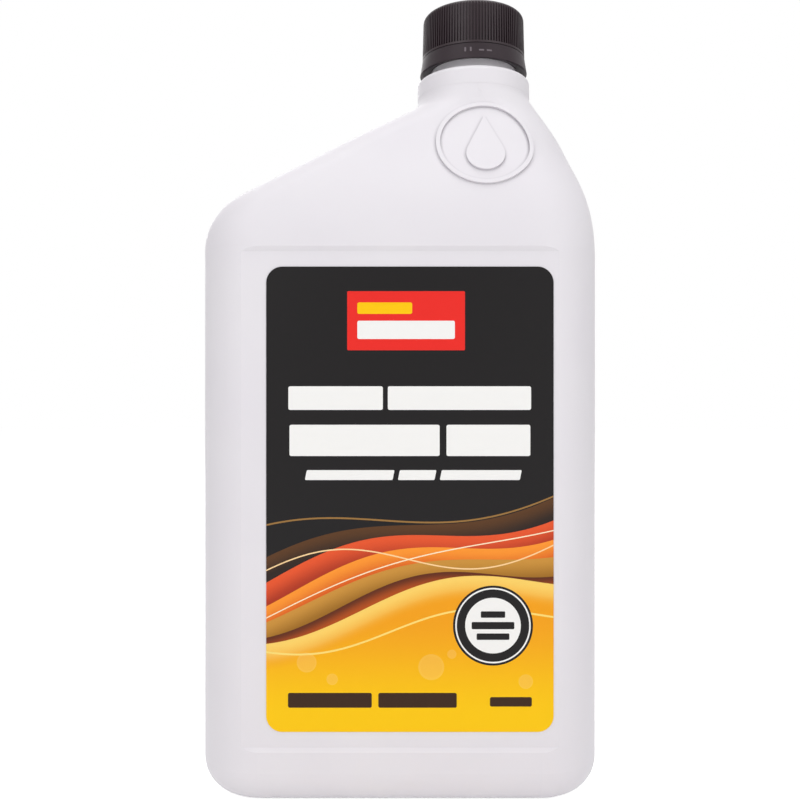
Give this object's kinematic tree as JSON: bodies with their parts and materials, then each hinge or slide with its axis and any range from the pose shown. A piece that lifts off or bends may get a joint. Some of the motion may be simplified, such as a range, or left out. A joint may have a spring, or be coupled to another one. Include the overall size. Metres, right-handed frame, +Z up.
{
  "type": "motor oil bottle",
  "caption": "Flat white blow-moulded oil bottle with an off-centre neck, sloping shoulder, ribbed screw cap with tamper band, foil seal and a printed label on each face.",
  "frame": {"origin": "centre of the base on the surface that the bottle stands on", "axes": "+Z up; the front label faces -Y; the neck is to the +X side"},
  "size_m": [0.1086, 0.059, 0.2195],
  "materials": {
    "white_hdpe": "satin white blow-moulded polyethylene",
    "motor_oil": "clear amber oil",
    "seal_foil": "bright foil",
    "black_polypropylene": "satin near-black moulded polypropylene",
    "liner_foam": "matt white foamed liner",
    "printed_label": "printed film label"
  },
  "bodies": {
    "bottle": {"bottle": "white_hdpe", "oil_fill": "motor_oil", "foil_seal": "seal_foil", "tamper_band": "black_polypropylene", "front_label": "printed_label", "back_label": "printed_label"},
    "liner": {"cap_liner": "liner_foam"},
    "cap": {"screw_cap": "black_polypropylene"}
  },
  "joints": [
    {"name": "cap_rise", "type": "slide", "parent": "bottle", "child": "liner", "axis": [0, 0, 1], "range_m": [0, 0.0127]},
    {"name": "cap_turn", "type": "hinge", "parent": "liner", "child": "cap", "pos_m": [0.02155, 0, 0.2133], "axis": [0, 0, 1], "range_deg": [0, 1080]}
  ],
  "couplings": [
    {"joint": "cap_rise", "follows": "cap_turn", "m_per_rad": 0.0006737}
  ]
}
